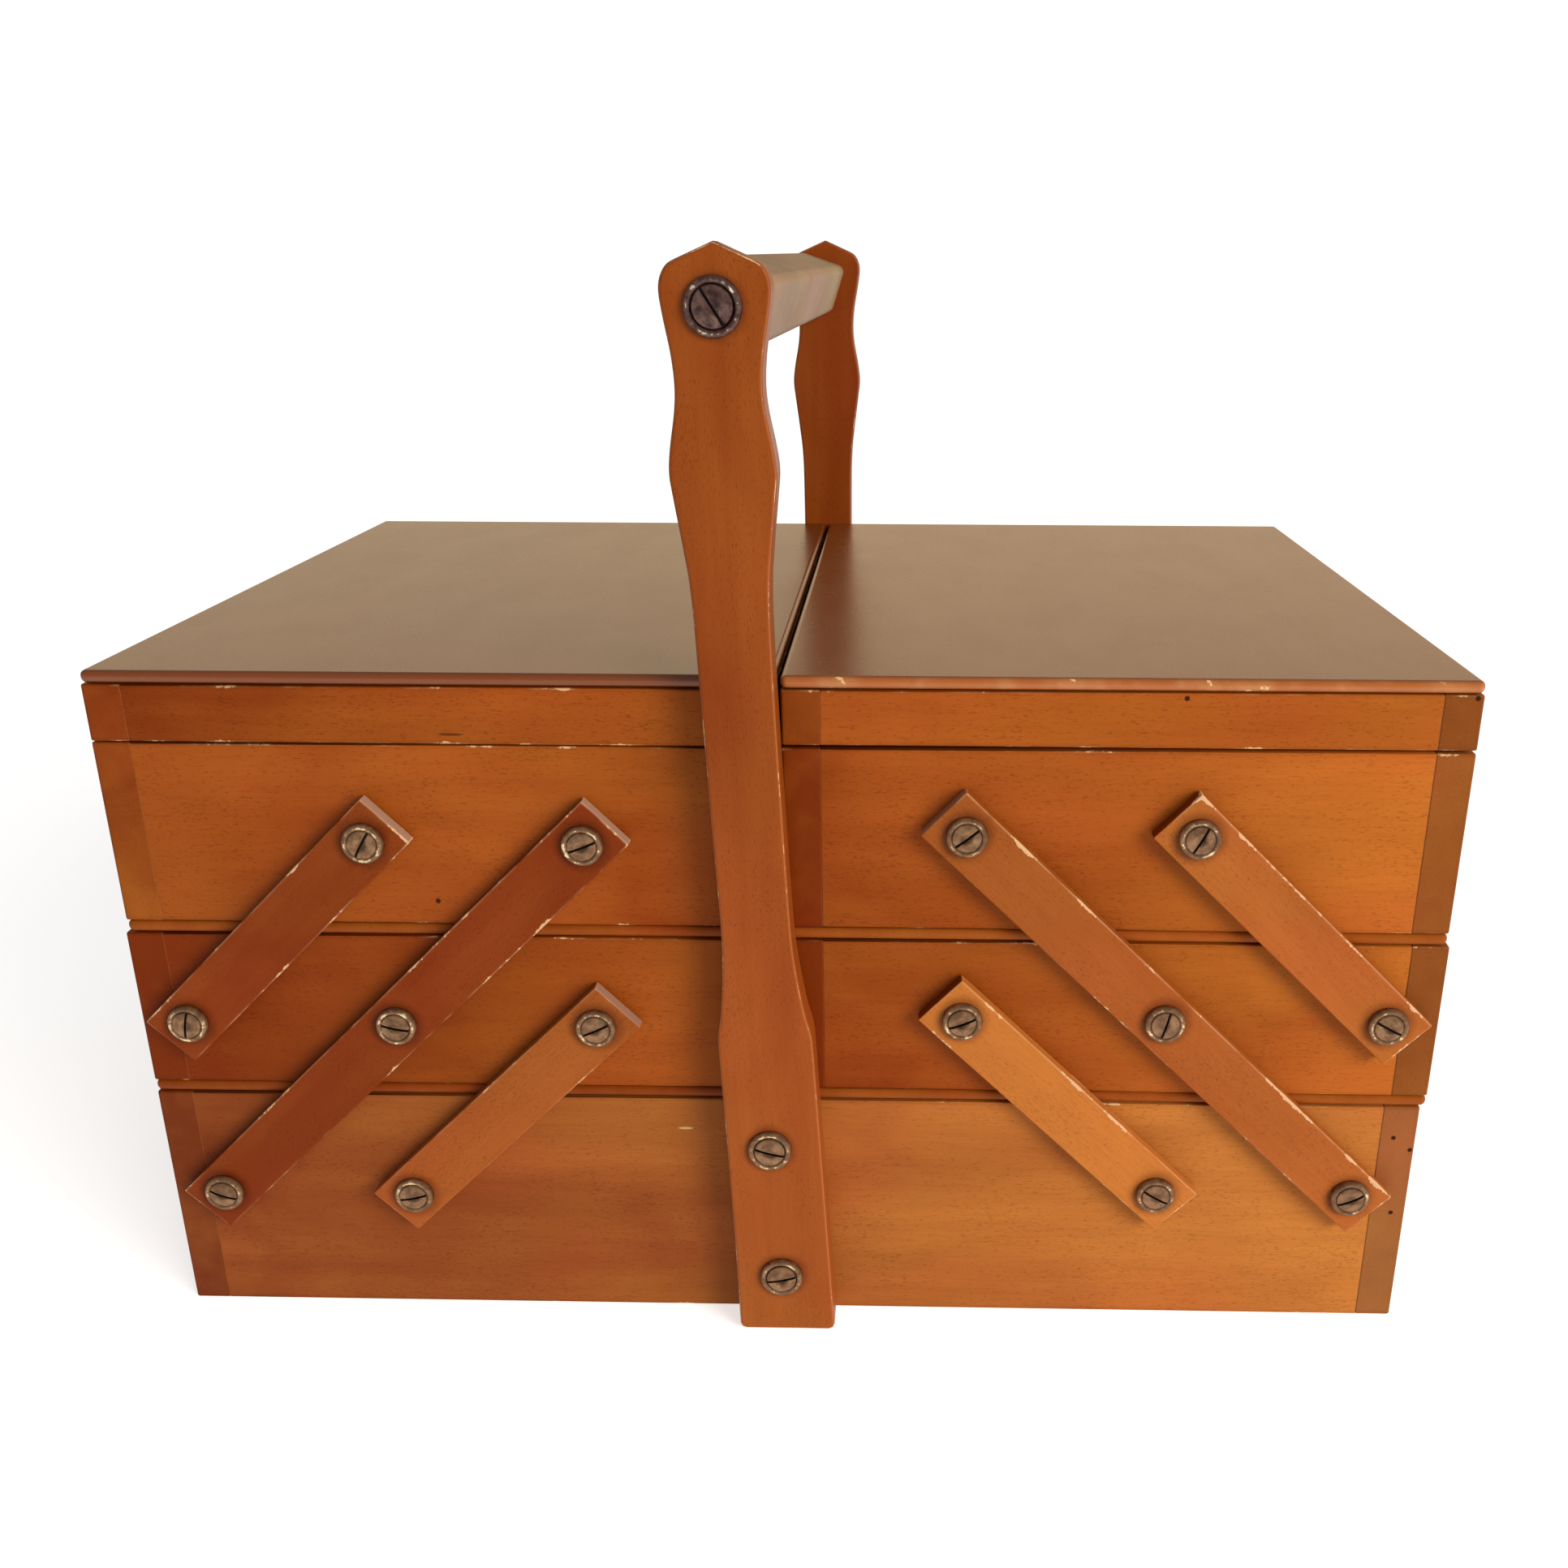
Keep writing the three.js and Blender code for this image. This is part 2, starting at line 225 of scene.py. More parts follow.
def mark(g, loc, attribute, stretch, radius):
    """1 on a small spot whose place is stored in an attribute, 0 away from it."""
    offset = g.vector("MULTIPLY", g.vector("SUBTRACT", loc, g.attribute(attribute)), stretch)
    return g.step(g.vector("LENGTH", offset, output="Value"), radius * 0.6, radius, 1.0, 0.0)


def stained(g, place, tone, mottle, dark, light):
    """Beech under a spirit stain: cloudy, hardly streaked along the grain, redder in places."""
    clouds = centred(g, g.noise(place, (11.0, 19.0, 19.0), 3.0, 0.5, 0.6), 2.2)
    streaks = centred(g, g.noise(place, (9.0, 110.0, 110.0), 3.0, 0.5, 0.4), 0.22)
    amount = g.math("ADD", g.math("ADD", tone, g.math("MULTIPLY", clouds, mottle)), streaks)
    color = g.mix(amount, dark, light)
    redder = g.step(g.noise(place, (8.0, 14.0, 14.0), 2.0, 0.5, 0.5), 0.42, 0.68)
    return g.mix(g.math("MULTIPLY", redder, 0.6), color, g.mix(1.0, color, (1.04, 0.78, 1.0), "MULTIPLY"))


def greasy_rings(g, loc, patches):
    """Dirt round the screws of an arm, whose places are stored in attributes."""
    offsets = [g.vector("SUBTRACT", loc, g.attribute(f"hole_{i}")) for i in range(3)]
    first, second, third = (g.vector("LENGTH", offset, output="Value") for offset in offsets)
    nearest = g.math("MINIMUM", g.math("MINIMUM", first, second), third)
    return g.step(g.math("ADD", nearest, centred(g, patches, 0.004)), 0.0066, 0.0100, 0.55, 0.0)


def wood_material(name, dark, light, pale, rough, specular, fleck=0.42, ripple=0.00006, smear=0.14,
                  inner=None, bead=None, ends=None, edge_grime_and_shade=0.3):
    """Stained and varnished beech. The grain runs along X of the piece's own 'loc' attribute.

    bead is the stain of a rounded panel edge, dark and light; ends is the pale, dusty colour of an arm's
    sawn ends, partly a painted highlight, which gives way to dark stain, a painted shade, on lighter arms;
    an arm also has a greasy ring round each screw.
    """
    g = Graph(name)
    loc = g.attribute("loc")
    tone = g.attribute("tone", "Fac")
    seed, worn, mottle = g.split(g.attribute("look"))
    end_grain, inside, rounded = g.split(g.attribute("kind"))
    place = g.vector("ADD", loc, g.vector("MULTIPLY", g.join(seed, seed, seed), (7.31, 3.17, 5.73)))

    color = stained(g, place, tone, mottle, dark, light)
    fine = g.noise(place, (90.0, 1700.0, 1700.0), 2.0, 0.6)
    color = g.mix(g.math("MULTIPLY", g.step(fine, 0.40, 0.75), 0.14), color, dark)
    dashes = g.noise(place, (620.0, 2900.0, 2900.0), 1.0, 0.5)
    rays = g.noise(place, (30.0, 60.0, 60.0), 2.0, 0.5)
    flecks = g.step(g.math("ADD", dashes, centred(g, rays, 0.22)), 0.62, 0.70)
    flecks = g.math("MULTIPLY", flecks, fleck)
    color = g.mix(flecks, color, g.mix(1.0, color, (0.42, 0.30, 0.25), "MULTIPLY"))
    # An arm's sawn ends are pale and dusty where the arm's stain is dark, and take the dark stain where it
    # is light: the pale ends of the left arms, which face the key light, are partly a painted highlight, and
    # the dark ends of the right arms, which face away from it, are a painted shade.
    if ends is not None:
        color = g.mix(end_grain, color, g.mix(g.step(tone, 0.2, 0.5), ends, dark))
    else:
        color = g.mix(end_grain, color, g.mix(1.0, color, (0.62, 0.65, 0.90), "MULTIPLY"))
    if bead is not None:
        color = g.mix(rounded, color, g.mix(tone, *bead))
        flecks = g.math("MULTIPLY", flecks, g.math("SUBTRACT", 1.0, rounded))
    if inner is not None:
        streaks = g.noise(place, (7.0, 170.0, 170.0), 4.0, 0.6, 0.3)
        bare = g.mix(g.step(streaks, 0.3, 0.7), inner, tuple(c * 1.25 for c in inner))
        color = g.mix(inside, color, g.mix(g.math("MULTIPLY", flecks, 0.5), bare, dark))

    distance = edge_distance(g, loc)
    patches = g.noise(place, (60.0, 60.0, 60.0), 3.0, 0.6)
    crumbs = g.noise(place, (650.0, 650.0, 650.0), 2.0, 0.6)
    line = g.math("MAXIMUM", g.step(distance, 0.0002, 0.0008, 1.0, 0.0), g.math("MULTIPLY", rounded, 0.5))
    line = g.math("MULTIPLY", line, g.step(g.math("ADD", patches, centred(g, worn, 0.8)), 0.40, 0.64))
    near = g.math("MAXIMUM", g.step(distance, 0.0, 0.0022, 1.0, 0.0), g.math("MULTIPLY", rounded, 0.8))
    chips = g.math("ADD", centred(g, patches, 3.4), centred(g, crumbs, 1.1))
    chips = g.math("ADD", g.math("ADD", chips, near), g.math("SUBTRACT", worn, 1.75))
    chips = g.math("MULTIPLY", g.step(chips, 0.0, 0.12), g.step(near, 0.05, 0.3))
    # Darker within 1.8 mm of a free edge: grime, and along the gaps between the trays and the lids a painted
    # shade.
    grime_and_gap_shade = g.math("MULTIPLY", g.step(distance, 0.0, 0.0018, 1.0, 0.0), edge_grime_and_shade)
    color = g.mix(grime_and_gap_shade, color, g.mix(1.0, color, (0.45, 0.36, 0.34), "MULTIPLY"))
    color = g.mix(g.math("MULTIPLY", line, 0.26), color, pale)
    wear = g.math("MAXIMUM", chips, mark(g, loc, "nick", (0.20, 1.0, 1.0), 0.0006))
    color = g.mix(g.math("MULTIPLY", wear, 0.80), color, pale)
    spot = mark(g, loc, "scratch", (0.12, 1.0, 1.0), 0.00055)
    if ends is not None:
        spot = g.math("MAXIMUM", spot, greasy_rings(g, loc, patches))
    color = g.mix(g.math("MULTIPLY", spot, 0.85), color, g.mix(1.0, color, (0.35, 0.27, 0.25), "MULTIPLY"))
    # Worm holes are not cut: each is a near-black spot, a painted shade of the hole's dark inside.
    worm_hole_shade = [mark(g, loc, f"worm_{i}", (1.0, 1.0, 1.0), 0.0010) for i in range(3)]
    worm_hole_shade = g.math("MAXIMUM", g.math("MAXIMUM", worm_hole_shade[0], worm_hole_shade[1]), worm_hole_shade[2])
    color = g.mix(g.math("MULTIPLY", worm_hole_shade, 0.95), color, (0.02, 0.004, 0.002))

    smears = g.noise(place, (28.0, 45.0, 45.0), 4.0, 0.65)
    gloss = g.step(smears, 0.2, 0.8, rough - 0.4 * smear, rough + 0.6 * smear)
    gloss = g.math("ADD", gloss, g.math("MULTIPLY", g.math("MAXIMUM", wear, inside), 0.25))
    waves = g.noise(place, (40.0, 130.0, 130.0), 2.0, 0.5)
    pores = g.math("ADD", g.math("MULTIPLY", flecks, 0.5), wear)
    g.set(base_color=color, roughness=gloss, normal=g.bump(pores, -0.00005, 0.7, g.bump(waves, ripple)))
    g.shader.inputs["IOR"].default_value = 1.5
    g.shader.inputs["Specular IOR Level"].default_value = specular
    return g.material


def metal_material(name, dark, light, rubbed, rough):
    """Tarnished metal; 'kind' says in X where it is rubbed bright and in Y where it lies in a screw's slot,
    whose dark is a painted shade.
    """
    g = Graph(name)
    rub, slot_shade = g.split(g.attribute("kind"))[:2]
    seed = g.split(g.attribute("look"))[0]
    place = g.vector("ADD", g.attribute("loc"), g.join(seed, g.math("MULTIPLY", seed, 3.3), 0.0))
    stain = g.noise(place, (330.0, 330.0, 330.0), 4.0, 0.6)
    specks = g.noise(place, (1500.0, 1500.0, 1500.0), 2.0, 0.6)
    color = g.mix(g.step(stain, 0.3, 0.7), dark, light)
    color = g.mix(g.math("MULTIPLY", g.step(specks, 0.58, 0.7), 0.6), color, dark)
    bright = g.step(g.math("ADD", g.math("MULTIPLY", rub, 0.8), centred(g, stain, 3.2)), 0.85, 1.15)
    color = g.mix(bright, color, rubbed)
    # The inside of the slot is painted near black: painted shade.
    color = g.mix(slot_shade, color, (0.010, 0.005, 0.004))
    gloss = g.math("ADD", g.step(specks, 0.3, 0.7, rough, rough + 0.18), g.math("MULTIPLY", bright, -0.12))
    g.set(base_color=color, roughness=gloss, normal=g.bump(specks, 0.00005, 0.6))
    g.shader.inputs["Metallic"].default_value = 0.75
    return g.material


STAIN_DARK = (0.16, 0.024, 0.0004)
STAIN_LIGHT = (0.50, 0.155, 0.019)
BARE_EDGE = (0.56, 0.34, 0.17)
BARE_INSIDE = (0.40, 0.20, 0.08)
WOOD = {
    "board": wood_material(
        "board_beech", dark=STAIN_DARK, light=STAIN_LIGHT, pale=BARE_EDGE,
        rough=0.42, specular=0.06, inner=BARE_INSIDE),
    "faded_board": wood_material(
        "faded_board_beech", dark=(0.15, 0.027, 0.004), light=(0.55, 0.20, 0.036), pale=BARE_EDGE,
        rough=0.42, specular=0.06, inner=BARE_INSIDE),
    "panel": wood_material(
        "panel_beech", dark=(0.10, 0.022, 0.003), light=(0.22, 0.060, 0.012), pale=(0.74, 0.47, 0.20),
        rough=0.27, specular=0.5, fleck=0.6, ripple=0.000004, smear=0.03, inner=BARE_INSIDE,
        bead=((0.09, 0.015, 0.001), (0.42, 0.115, 0.018)), edge_grime_and_shade=0.0),
    # The arms: their pale sawn ends are partly a painted highlight, and on lighter arms the dark ends are a
    # painted shade.
    "strip": wood_material(
        "strip_beech", dark=(0.16, 0.024, 0.0008), light=(0.50, 0.165, 0.029), pale=(0.62, 0.38, 0.21),
        rough=0.38, specular=0.08, ends=(0.36, 0.20, 0.13), edge_grime_and_shade=0.0),
    "bottom": wood_material(
        "bottom_beech", dark=STAIN_DARK, light=STAIN_LIGHT, pale=BARE_EDGE,
        rough=0.38, specular=0.10, inner=BARE_INSIDE, edge_grime_and_shade=0.0),
    "bar": wood_material(
        "bar_beech", dark=(0.20, 0.125, 0.062), light=(0.34, 0.222, 0.110), pale=(0.42, 0.33, 0.21),
        rough=0.55, specular=0.2, fleck=0.25, edge_grime_and_shade=0.2),
    "ply": wood_material(
        "thin_plywood", dark=(0.42, 0.25, 0.11), light=(0.60, 0.40, 0.20), pale=(0.62, 0.46, 0.28),
        rough=0.6, specular=0.2, fleck=0.3, inner=(0.48, 0.29, 0.13)),
}
METAL = {
    "screw": metal_material(
        "bronzed_steel", dark=(0.15, 0.074, 0.036), light=(0.33, 0.182, 0.092), rubbed=(0.80, 0.63, 0.38),
        rough=0.42),
    "bar_screw": metal_material(
        "violet_steel", dark=(0.045, 0.020, 0.020), light=(0.19, 0.105, 0.085), rubbed=(0.74, 0.62, 0.46),
        rough=0.36),
    "hinge": metal_material(
        "aged_brass", dark=(0.22, 0.13, 0.045), light=(0.46, 0.31, 0.11), rubbed=(0.80, 0.62, 0.30),
        rough=0.32),
}


# ------------------------------------------------------------------ mesh helpers

def put(mesh, name, domain, values):
    """Stores a number or a vector for each point or face of a mesh."""
    if isinstance(values[0], float):
        mesh.attributes.new(name, "FLOAT", domain).data.foreach_set("value", values)
    else:
        data = mesh.attributes.new(name, "FLOAT_VECTOR", domain).data
        data.foreach_set("vector", [number for value in values for number in value])


def turned(x_axis, z_axis):
    """Rotation whose columns are the given X and Z axes and the Y axis that completes them."""
    x = Vector(x_axis).normalized()
    z = Vector(z_axis).normalized()
    return Matrix((x, z.cross(x), z)).transposed()


def add_object(name, mesh, material, body, replaced=()):
    mesh.materials.append(material)
    for polygon in mesh.polygons:
        polygon.use_smooth = True
    piece = bpy.data.objects.new(name, mesh)
    bpy.context.scene.collection.objects.link(piece)
    smoother = piece.modifiers.new("flat_faces", "WEIGHTED_NORMAL")
    smoother.keep_sharp = True
    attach(piece, body)
    if replaced:
        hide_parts(*replaced)
    return piece


def ease(bm, edges, radius, segments):
    edges = [e for e in edges if e.is_valid]
    bmesh.ops.bevel(bm, geom=edges, offset=radius, segments=segments, profile=0.5, affect="EDGES")


def sharp_edges(bm):
    return [e for e in bm.edges if e.is_manifold and e.calc_face_angle() > math.radians(50)]


class Look(NamedTuple):
    """What the wood shader knows of one board: its own randomness, stain and wear."""
    seed: float
    tone: tuple            # stain at the low and at the high end of the board, 0 is dark and 1 is light
    worn: float = 0.5
    mottle: float = 0.4
    # The extra pale edge below is wear, and where it faces the key light, partly a painted highlight.
    flaking_and_highlight: float = 0.0    # extra wear along the edge on its own +Y side, or -Y when negative
    end_grain: float = 1.0


class Timber:
    """A box of wood in its own axes, with X along the grain, that carries what its material reads."""

    def __init__(self, size, centre, turn, look):
        self.half = Vector(size) / 2
        self.centre = Vector(centre)
        self.turn = turn
        self.look = look
        self.joined = []
        self.points = {}
        self.bm = bmesh.new()
        bmesh.ops.create_cube(self.bm, size=1.0, matrix=Matrix.Diagonal((*size, 1.0)))

    def edges_along(self, axis, signs):
        """The edges along one own axis, on the given signs of the other two axes (0 is both)."""
        others = [i for i in range(3) if i != axis]
        found = []
        for edge in self.bm.edges:
            middle = (edge.verts[0].co + edge.verts[1].co) / 2
            if abs(middle[axis]) > self.half[axis] * 0.5:
                continue
            if all(s == 0 or middle[i] * s > 0 for i, s in zip(others, signs)):
                found.append(edge)
        return found

    def level_edges(self):
        """The sharp edges that lie in the top or bottom face, round any corners already made."""
        top = self.half.z * 0.999
        return [e for e in sharp_edges(self.bm) if all(abs(v.co.z) > top for v in e.verts)]

    def ease(self, edges, radius, segments):
        ease(self.bm, edges, radius, segments)

    def own(self, place):
        """A place in the row frame, in this board's own axes."""
        return self.turn.transposed() @ (Vector(place) - self.centre)

    def mark_from(self, marks):
        """Keeps the places of small marks, given in the row frame."""
        self.points.update({name: self.own(place) for name, place in marks.items()})

    def butts(self, axis, sign):
        """Says that a side is glued to a neighbour, so its edges never wear."""
        self.joined.append((axis, sign))

    def shading_frame(self):
        """The half sizes and the shift of 'loc' that keep glued sides out of reach."""
        half, shift = self.half.copy(), Vector((0, 0, 0))
        for axis, sign in self.joined:
            half[axis] += FAR / 2
            shift[axis] -= sign * FAR / 2
        return half, shift

    def finish(self, name, material, body, slot, replaced=(), inside=None, kind=None):
        self.bm.normal_update()
        mesh = bpy.data.meshes.new(name)
        self.bm.to_mesh(mesh)
        self.bm.free()
        half, shift = self.shading_frame()
        inward = self.turn.transposed() @ Vector(inside) if inside else Vector((0, 0, 0))
        low, high = self.look.tone
        shares = [0.5 + v.co.x / (2 * self.half.x) for v in mesh.vertices]
        put(mesh, "loc", "POINT", [v.co + shift for v in mesh.vertices])
        put(mesh, "half", "POINT", [half] * len(mesh.vertices))
        flaking_and_highlight = self.look.flaking_and_highlight
        worn = [self.look.worn + abs(flaking_and_highlight) * float(v.co.y * flaking_and_highlight > 0) for v in mesh.vertices]
        put(mesh, "look", "POINT", [(self.look.seed, w, self.look.mottle) for w in worn])
        put(mesh, "tone", "POINT", [low + (high - low) * share for share in shares])
        for point, place in self.points.items():
            put(mesh, point, "POINT", [Vector(place) + shift] * len(mesh.vertices))
        ends = self.look.end_grain
        if kind is None:
            kind = lambda normal: (ends * float(abs(normal.x) > 0.7), float(normal.dot(inward) > 0.7), 0.0)
        put(mesh, "kind", "FACE", [kind(polygon.normal) for polygon in mesh.polygons])
        mesh.transform(Matrix.Translation(self.centre) @ self.turn.to_4x4())
        return add_object(name, mesh, material, body, replaced)


ALONG = {
    "x": turned((1, 0, 0), (0, 0, 1)),
    "y": turned((0, 1, 0), (0, 0, 1)),
}


def timber_between(low, high, grain, look):
    """A Timber that fills a box of the row frame, with its grain along x or y."""
    low, high = Vector(low), Vector(high)
    extent = high - low
    size = extent if grain == "x" else Vector((extent.y, extent.x, extent.z))
    return Timber(size, (low + high) / 2, ALONG[grain], look)


# ------------------------------------------------------------------ boxes, trays and lids

def end_tone(prefix, look, end):
    """An end board takes the long boards' stain at that end; next to the handle it is darker, a painted
    shade of the handle arm.
    """
    inner = prefix.startswith(("left", "right")) and not prefix.startswith(end)
    tone = look.tone[0] if end == "left" else look.tone[1] - 0.04
    # the -0.22 next to the handle is painted shade: the handle arm's shadow on that end board
    return (tone - 0.22 * inner,) * 2


def ring_of_boards(prefix, low, high, body, node, look, wood="board"):
    """Two end boards over the full depth, and a front and a back board between them."""
    low, high = Vector(low), Vector(high)
    ends = {"left": (low.x, low.x + END_WALL, 1), "right": (high.x - END_WALL, high.x, -1)}
    for i, (end, (x0, x1, inward)) in enumerate(ends.items()):
        tone = end_tone(prefix, look, end)
        board_look = look._replace(seed=look.seed + i, tone=tone, end_grain=0.25 if end == "left" else 1.0)
        board = timber_between((x0, low.y, low.z), (x1, high.y, high.z), "y", board_look)
        board.ease(board.edges_along(2, (0, inward)), CORNER, 3)
        board.ease(board.level_edges(), ARRIS, 2)
        board.butts(1, -inward)
        board.mark_from(BOARD_MARKS.get(f"{prefix}_{end}", {}))
        replaced = [node] if i == 0 else []
        board.finish(f"{prefix}_{end}_end_board", WOOD[wood], body, "board_wood", replaced, (inward, 0, 0))
    x0, x1 = low.x + END_WALL + SEAM, high.x - END_WALL - SEAM
    for i, (face, sign) in enumerate(FACES.items()):
        y = low.y if sign < 0 else high.y
        corners = (x0, min(y, y - sign * WALL), low.z), (x1, max(y, y - sign * WALL), high.z)
        board = timber_between(*corners, "x", look._replace(seed=look.seed + 2 + i))
        board.ease([e for e in board.level_edges() if e in board.edges_along(0, (0, 0))], ARRIS, 2)
        board.butts(0, 1)
        board.butts(0, -1)
        board.mark_from(BOARD_MARKS.get(f"{prefix}_{face}", {}))
        board.finish(f"{prefix}_{face}_board", WOOD[wood], body, "board_wood", (), (0, -sign, 0))


def applied_panel(name, low, high, body, replaced, look, material, inward):
    """A thin panel with rounded edges, over or under a ring of boards."""
    panel = timber_between(low, high, "y", look)
    panel.ease(panel.edges_along(2, (0, 0)), PANEL_CORNER, 4)
    panel.ease(sharp_edges(panel.bm), BULLNOSE, 5)
    kind = lambda normal: (0.0, float(normal.z * inward > 0.99), 1.0 - normal.z ** 4)
    return panel.finish(name, WOOD[material], body, "panel_wood", replaced, kind=kind)


# Small marks in the row frame, on the front faces.
FRONT = -0.141
BOARD_MARKS = {
    "left_upper_tray_front": {"worm_0": (-0.1088, FRONT, 0.1535)},
    "left_lid_front": {"scratch": (-0.0993, FRONT, 0.2084)},
    "right_lid_front": {"worm_0": (0.1220, FRONT, 0.2215)},
    "right_lid_right": {"worm_0": (0.2078, FRONT, 0.2222)},
    "right_middle_tray_front": {"nick": (0.0871, FRONT, 0.1380)},
    "base_front": {"nick": (-0.0340, FRONT, 0.0716)},
    "base_right": {
        "worm_0": (0.2017, FRONT, 0.0714),
        "worm_1": (0.2077, FRONT, 0.0668),
        "worm_2": (0.2044, FRONT, 0.0421),
    },
}


def make_base():
    low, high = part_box("base_carcass")
    look = Look(1, (0.10, 0.70), 0.32, 0.28)
    ring_of_boards("base", low, high, "base", "base_carcass", look, "faded_board")
    low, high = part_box("base_bottom")
    sheet = timber_between(low, high, "x", Look(9, (0.5, 0.5), 0.2))
    sheet.ease(sharp_edges(sheet.bm), 0.0003, 2)
    sheet.finish("base_bottom_sheet", WOOD["ply"], "base", "plywood", ["base_bottom"], (0, 0, 1))


# Stain and wear of the lid tops.
TOP_TONES = {"left": (0.20, 0.20), "right": (0.70, 0.70)}
TOP_WORN = {"left": 0.15, "right": 0.50}
# Stain of the boards at the left and at the right end, and how cloudy it is.
STAINS = {
    ("left", "middle"): ((-0.02, 0.40), 0.30),
    ("left", "upper"): ((0.26, 0.32), 0.45),
    ("left", "lid"): ((0.14, 0.36), 0.30),
    ("right", "middle"): ((0.18, 0.54), 0.30),
    ("right", "upper"): ((0.24, 0.58), 0.25),
    ("right", "lid"): ((0.40, 0.44), 0.20),
}


def make_tray(side, level, seed):
    body = f"{side}_{level}_tray"
    tone, mottle = STAINS[side, level]
    low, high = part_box(f"{body}_carcass")
    bottom_low, bottom_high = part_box(f"{body}_bottom")
    ring_low = (low.x, low.y, bottom_high.z + GROOVE)
    ring_of_boards(body, ring_low, high, body, f"{body}_carcass", Look(seed, tone, 0.36, mottle))
    look = Look(seed + 5, (sum(tone) / 2 - 0.10,) * 2, 0.0, 0.2)
    applied_panel(f"{body}_floor", bottom_low, bottom_high, body, [f"{body}_bottom"], look, "bottom", 1)


def make_lid(side, seed):
    body = f"{side}_lid"
    tone, mottle = STAINS[side, "lid"]
    low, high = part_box(body)
    joint = high.z - PANEL
    ring_of_boards(body, low, (high.x, high.y, joint - GROOVE), body, body, Look(seed, tone, 0.42, mottle))
    look = Look(seed + 5, TOP_TONES[side], TOP_WORN[side], 0.1)
    applied_panel(f"{body}_top", (low.x, low.y, joint), high, body, [], look, "panel", -1)


# ------------------------------------------------------------------ arms

ARM_HOLES = {
    "long": ("base_outer", "middle_centre", "upper_inner"),
    "lower": ("base_inner", "middle_inner"),
    "upper": ("middle_outer", "upper_outer"),
}
# Stain at the lower and at the upper end.
ARM_TONES = {
    ("left", "long"): (0.00, -0.02), ("left", "lower"): (0.36, 0.28), ("left", "upper"): (0.00, 0.06),
    ("right", "long"): (0.50, 0.32), ("right", "lower"): (0.88, 0.78), ("right", "upper"): (0.52, 0.50),
}
ARM_WORN = {"left": 0.48, "right": 0.38}
# On the right arms, seen from the front, the extra pale edge lies on the side towards the key light: wear,
# and partly a painted highlight.
ARM_FLAKED_AND_LIT = {("right", "long"): -0.28, ("right", "lower"): -0.28, ("right", "upper"): -0.50}


def node_centre(node):
    low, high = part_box(node)
    return (low + high) / 2


def make_arm(side, face, name, seed):
    node = f"{side}_{face}_{name}_arm"
    low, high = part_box(node)
    first, *middle, last = (node_centre(f"{side}_{face}_{hole}_screw") for hole in ARM_HOLES[name])
    run = Vector((last.x - first.x, 0, last.z - first.z)).normalized()
    across = abs(run.x), abs(run.z)
    width_x, width_z = high.x - low.x, high.z - low.z
    determinant = across[0] ** 2 - across[1] ** 2
    length = (width_x * across[0] - width_z * across[1]) / determinant
    width = (width_z * across[0] - width_x * across[1]) / determinant
    outward = Vector((0, FACES[face], 0))
    look = Look(seed, ARM_TONES[side, name], ARM_WORN[side], 0.2, ARM_FLAKED_AND_LIT.get((side, name), 0.1))
    arm = Timber((length, width, high.y - low.y), (low + high) / 2, turned(run, outward), look)
    arm.ease(sharp_edges(arm.bm), ARRIS, 2)
    surface = high.y if FACES[face] > 0 else low.y
    for i, hole in enumerate((first, last, *(middle or [last]))):
        arm.points[f"hole_{i}"] = arm.own((hole.x, surface, hole.z))
    kind = lambda normal: (float(abs(normal.x) > 0.7), 0.0, 0.0)
    arm.finish(f"{node}_strip", WOOD["strip"], f"{side}_{name}_arms", "arm_wood", [node], kind=kind)


# ------------------------------------------------------------------ screws

def lathe(bm, profile, segments):
    """Turns (radius, height) pairs about Z; pairs on the axis become one vertex."""
    rings = []
    for radius, height in profile:
        if radius == 0:
            rings.append([bm.verts.new((0, 0, height))] * segments)
            continue
        angles = [2 * math.pi * i / segments for i in range(segments)]
        rings.append([bm.verts.new((radius * math.cos(a), radius * math.sin(a), height)) for a in angles])
    for lower, upper in zip(rings, rings[1:]):
        for i in range(segments):
            j = (i + 1) % segments
            corners = [lower[i], lower[j], upper[j], upper[i]]
            bm.faces.new(list(dict.fromkeys(corners)))


def arc(centre, radius, start, end, steps):
    """Points of an arc in the (radius, height) plane, angles in degrees."""
    angles = [math.radians(start + (end - start) * i / steps) for i in range(steps + 1)]
    return [(centre[0] + radius * math.cos(a), centre[1] + radius * math.sin(a)) for a in angles]


def cut_slot(bm, width, depth, top):
    """Cuts a straight slot across the head with a boolean, and returns the cut mesh."""
    head = bpy.data.meshes.new("head")
    bm.to_mesh(head)
    tool = bmesh.new()
    place = Matrix.Translation((0, 0, top)) @ Matrix.Diagonal((0.05, width, 2 * depth, 1))
    bmesh.ops.create_cube(tool, size=1.0, matrix=place)
    cutter = bpy.data.meshes.new("cutter")
    tool.to_mesh(cutter)
    tool.free()
    objects = [bpy.data.objects.new(m.name, m) for m in (head, cutter)]
    for o in objects:
        bpy.context.scene.collection.objects.link(o)
    modifier = objects[0].modifiers.new("slot", "BOOLEAN")
    modifier.operation = "DIFFERENCE"
    modifier.solver = "EXACT"
    modifier.object = objects[1]
    graph = bpy.context.evaluated_depsgraph_get()
    result = bpy.data.meshes.new_from_object(objects[0].evaluated_get(graph))
    for o in objects:
        bpy.data.objects.remove(o)
    return result


